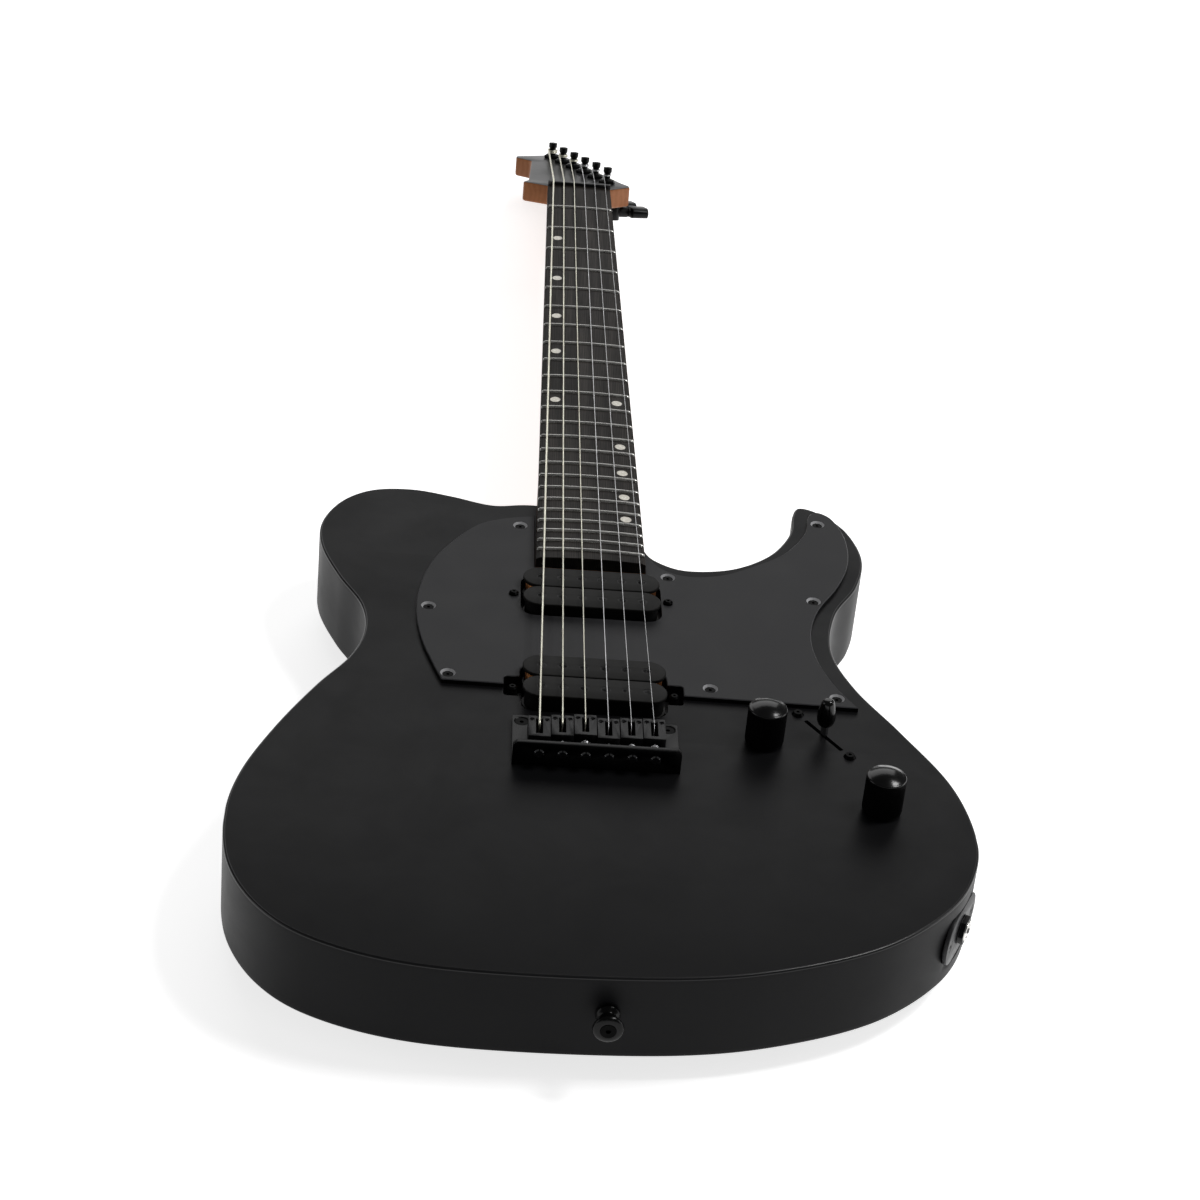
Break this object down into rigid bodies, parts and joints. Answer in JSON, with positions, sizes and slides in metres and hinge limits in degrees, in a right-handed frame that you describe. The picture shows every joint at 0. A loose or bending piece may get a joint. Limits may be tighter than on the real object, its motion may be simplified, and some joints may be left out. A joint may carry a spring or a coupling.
{
  "type": "electric guitar",
  "caption": "Solid-body electric guitar with a double cutaway, bolt-on neck, reversed in-line headstock, two pickups, hardtail bridge, turning tuners, knobs and switch.",
  "frame": {"origin": "on the flat back of the body, on the centre line of the strings, below the scale line of the bridge", "axes": "+Z out of the front of the body, +Y along the neck to the headstock, +X to the treble side"},
  "size_m": [0.3472, 0.9985, 0.0781],
  "materials": {
    "body_lacquer": "satin black lacquer over wood",
    "maple": "roasted maple, satin oil",
    "rosewood": "dark open-grained board, oiled",
    "fret_wire": "polished nickel-silver wire",
    "pearloid": "cream inlay",
    "black_nut": "polished graphite composite",
    "steel_rod": "bright steel",
    "black_metal": "black chrome plating",
    "black_screw": "black oxide",
    "guard_ply": "matte charcoal sheet",
    "bobbin": "moulded black",
    "copper_wire": "enamelled copper winding",
    "baseplate": "nickel silver plate",
    "pole_steel": "dark steel slugs and magnet bars",
    "tubing": "latex tubing",
    "saddle_block": "satin black plating",
    "spring_steel": "bright spring wire",
    "wound_string": "nickel-wound",
    "plain_string": "plain steel",
    "pot_metal": "pressed case",
    "lever_chrome": "chromed blade",
    "switch_tip": "gloss black",
    "jack_nickel": "nickel plated barrel",
    "knob_black": "gloss black plated, knurled side",
    "cover_plastic": "matte black sheet",
    "lead": "insulated leads"
  },
  "bodies": {
    "instrument": {"body": "body_lacquer", "neck": "maple", "fretboard": "rosewood", "frets": "fret_wire", "inlay_dots": "pearloid", "nut": "black_nut", "truss_rod": "steel_rod", "neck_bolts": "black_screw", "back_ferrules": "black_metal", "pickguard": "guard_ply", "pickguard_screws": "black_screw", "pickup_bobbins": "bobbin", "pickup_coils": "copper_wire", "pickup_baseplates": "baseplate", "pickup_cores": "pole_steel", "pickup_screws": "black_screw", "pickup_tubing": "tubing", "bridge_plate": "black_metal", "body_screws": "black_screw", "saddle_springs": "spring_steel", "wound_strings": "wound_string", "plain_strings": "plain_string", "pots": "pot_metal", "switch_frame": "pot_metal", "plate_screws": "black_screw", "jack_plate": "black_metal", "jack_socket": "jack_nickel", "strap_buttons": "black_metal", "control_cover": "cover_plastic", "tuner_housings": "black_metal", "tuner_bushings": "black_metal", "wiring": "lead"},
    "saddle_1": {"saddle_1": "saddle_block"},
    "intonation_screw_1": {"intonation_screw_1": "black_screw"},
    "saddle_2": {"saddle_2": "saddle_block"},
    "intonation_screw_2": {"intonation_screw_2": "black_screw"},
    "saddle_3": {"saddle_3": "saddle_block"},
    "intonation_screw_3": {"intonation_screw_3": "black_screw"},
    "saddle_4": {"saddle_4": "saddle_block"},
    "intonation_screw_4": {"intonation_screw_4": "black_screw"},
    "saddle_5": {"saddle_5": "saddle_block"},
    "intonation_screw_5": {"intonation_screw_5": "black_screw"},
    "saddle_6": {"saddle_6": "saddle_block"},
    "intonation_screw_6": {"intonation_screw_6": "black_screw"},
    "tuner_post_1": {"tuner_post_1": "black_metal"},
    "tuner_button_1": {"tuner_button_1": "black_metal"},
    "tuner_post_2": {"tuner_post_2": "black_metal"},
    "tuner_button_2": {"tuner_button_2": "black_metal"},
    "tuner_post_3": {"tuner_post_3": "black_metal"},
    "tuner_button_3": {"tuner_button_3": "black_metal"},
    "tuner_post_4": {"tuner_post_4": "black_metal"},
    "tuner_button_4": {"tuner_button_4": "black_metal"},
    "tuner_post_5": {"tuner_post_5": "black_metal"},
    "tuner_button_5": {"tuner_button_5": "black_metal"},
    "tuner_post_6": {"tuner_post_6": "black_metal"},
    "tuner_button_6": {"tuner_button_6": "black_metal"},
    "volume_control": {"volume_knob": "knob_black"},
    "tone_control": {"tone_knob": "knob_black"},
    "switch_blade": {"switch_lever": "lever_chrome", "switch_tip": "switch_tip"}
  },
  "joints": [
    {"name": "intonation_turn_1", "type": "hinge", "parent": "instrument", "child": "intonation_screw_1", "pos_m": [0.0275, -0.029, 0.0524], "axis": [0, -1, 0], "range_deg": [-2160, 2160]},
    {"name": "saddle_slide_1", "type": "slide", "parent": "instrument", "child": "saddle_1", "axis": [0, 1, 0], "range_m": [-0.003, 0.003]},
    {"name": "intonation_turn_2", "type": "hinge", "parent": "instrument", "child": "intonation_screw_2", "pos_m": [0.0165, -0.029, 0.0524], "axis": [0, -1, 0], "range_deg": [-2160, 2160]},
    {"name": "saddle_slide_2", "type": "slide", "parent": "instrument", "child": "saddle_2", "axis": [0, 1, 0], "range_m": [-0.003, 0.003]},
    {"name": "intonation_turn_3", "type": "hinge", "parent": "instrument", "child": "intonation_screw_3", "pos_m": [0.0055, -0.029, 0.0524], "axis": [0, -1, 0], "range_deg": [-2160, 2160]},
    {"name": "saddle_slide_3", "type": "slide", "parent": "instrument", "child": "saddle_3", "axis": [0, 1, 0], "range_m": [-0.003, 0.003]},
    {"name": "intonation_turn_4", "type": "hinge", "parent": "instrument", "child": "intonation_screw_4", "pos_m": [-0.0055, -0.029, 0.0524], "axis": [0, -1, 0], "range_deg": [-2160, 2160]},
    {"name": "saddle_slide_4", "type": "slide", "parent": "instrument", "child": "saddle_4", "axis": [0, 1, 0], "range_m": [-0.003, 0.003]},
    {"name": "intonation_turn_5", "type": "hinge", "parent": "instrument", "child": "intonation_screw_5", "pos_m": [-0.0165, -0.029, 0.0524], "axis": [0, -1, 0], "range_deg": [-2160, 2160]},
    {"name": "saddle_slide_5", "type": "slide", "parent": "instrument", "child": "saddle_5", "axis": [0, 1, 0], "range_m": [-0.003, 0.003]},
    {"name": "intonation_turn_6", "type": "hinge", "parent": "instrument", "child": "intonation_screw_6", "pos_m": [-0.0275, -0.029, 0.0524], "axis": [0, -1, 0], "range_deg": [-2160, 2160]},
    {"name": "saddle_slide_6", "type": "slide", "parent": "instrument", "child": "saddle_6", "axis": [0, 1, 0], "range_m": [-0.003, 0.003]},
    {"name": "tuner_button_turn_1", "type": "hinge", "parent": "instrument", "child": "tuner_button_1", "pos_m": [0.0225, 0.67041, 0.02673], "axis": [0.955, 0.2866, -0.0768], "continuous": true},
    {"name": "tuner_post_turn_1", "type": "hinge", "parent": "instrument", "child": "tuner_post_1", "pos_m": [0.0203, 0.68194, 0.04248], "axis": [0, 0.2588, 0.9659], "continuous": true},
    {"name": "tuner_button_turn_2", "type": "hinge", "parent": "instrument", "child": "tuner_button_2", "pos_m": [0.01554, 0.69204, 0.02093], "axis": [0.955, 0.2866, -0.0768], "continuous": true},
    {"name": "tuner_post_turn_2", "type": "hinge", "parent": "instrument", "child": "tuner_post_2", "pos_m": [0.01334, 0.70358, 0.03668], "axis": [0, 0.2588, 0.9659], "continuous": true},
    {"name": "tuner_button_turn_3", "type": "hinge", "parent": "instrument", "child": "tuner_button_3", "pos_m": [0.00858, 0.71368, 0.01513], "axis": [0.955, 0.2866, -0.0768], "continuous": true},
    {"name": "tuner_post_turn_3", "type": "hinge", "parent": "instrument", "child": "tuner_post_3", "pos_m": [0.00638, 0.72522, 0.03088], "axis": [0, 0.2588, 0.9659], "continuous": true},
    {"name": "tuner_button_turn_4", "type": "hinge", "parent": "instrument", "child": "tuner_button_4", "pos_m": [0.00162, 0.73532, 0.00933], "axis": [0.955, 0.2866, -0.0768], "continuous": true},
    {"name": "tuner_post_turn_4", "type": "hinge", "parent": "instrument", "child": "tuner_post_4", "pos_m": [-0.00058, 0.74685, 0.02508], "axis": [0, 0.2588, 0.9659], "continuous": true},
    {"name": "tuner_button_turn_5", "type": "hinge", "parent": "instrument", "child": "tuner_button_5", "pos_m": [-0.00534, 0.75695, 0.00354], "axis": [0.955, 0.2866, -0.0768], "continuous": true},
    {"name": "tuner_post_turn_5", "type": "hinge", "parent": "instrument", "child": "tuner_post_5", "pos_m": [-0.00754, 0.76849, 0.01929], "axis": [0, 0.2588, 0.9659], "continuous": true},
    {"name": "tuner_button_turn_6", "type": "hinge", "parent": "instrument", "child": "tuner_button_6", "pos_m": [-0.0123, 0.77859, -0.00226], "axis": [0.955, 0.2866, -0.0768], "continuous": true},
    {"name": "tuner_post_turn_6", "type": "hinge", "parent": "instrument", "child": "tuner_post_6", "pos_m": [-0.0145, 0.79013, 0.01349], "axis": [0, 0.2588, 0.9659], "continuous": true},
    {"name": "volume_turn", "type": "hinge", "parent": "instrument", "child": "volume_control", "pos_m": [0.082, 0.005, 0.044], "axis": [0, 0, 1], "range_deg": [0, 290]},
    {"name": "tone_turn", "type": "hinge", "parent": "instrument", "child": "tone_control", "pos_m": [0.134, -0.047, 0.044], "axis": [0, 0, 1], "range_deg": [0, 290]},
    {"name": "switch_swing", "type": "hinge", "parent": "instrument", "child": "switch_blade", "pos_m": [0.112, 0.014, 0.028], "axis": [0.8387, 0.5446, 0], "range_deg": [-28, 28]}
  ],
  "couplings": [
    {"joint": "intonation_turn_1", "follows": "saddle_slide_1", "rad_per_m": -12566},
    {"joint": "intonation_turn_2", "follows": "saddle_slide_2", "rad_per_m": -12566},
    {"joint": "intonation_turn_3", "follows": "saddle_slide_3", "rad_per_m": -12566},
    {"joint": "intonation_turn_4", "follows": "saddle_slide_4", "rad_per_m": -12566},
    {"joint": "intonation_turn_5", "follows": "saddle_slide_5", "rad_per_m": -12566},
    {"joint": "intonation_turn_6", "follows": "saddle_slide_6", "rad_per_m": -12566},
    {"joint": "tuner_post_turn_1", "follows": "tuner_button_turn_1", "ratio": 0.066667},
    {"joint": "tuner_post_turn_2", "follows": "tuner_button_turn_2", "ratio": 0.066667},
    {"joint": "tuner_post_turn_3", "follows": "tuner_button_turn_3", "ratio": 0.066667},
    {"joint": "tuner_post_turn_4", "follows": "tuner_button_turn_4", "ratio": 0.066667},
    {"joint": "tuner_post_turn_5", "follows": "tuner_button_turn_5", "ratio": 0.066667},
    {"joint": "tuner_post_turn_6", "follows": "tuner_button_turn_6", "ratio": 0.066667}
  ]
}
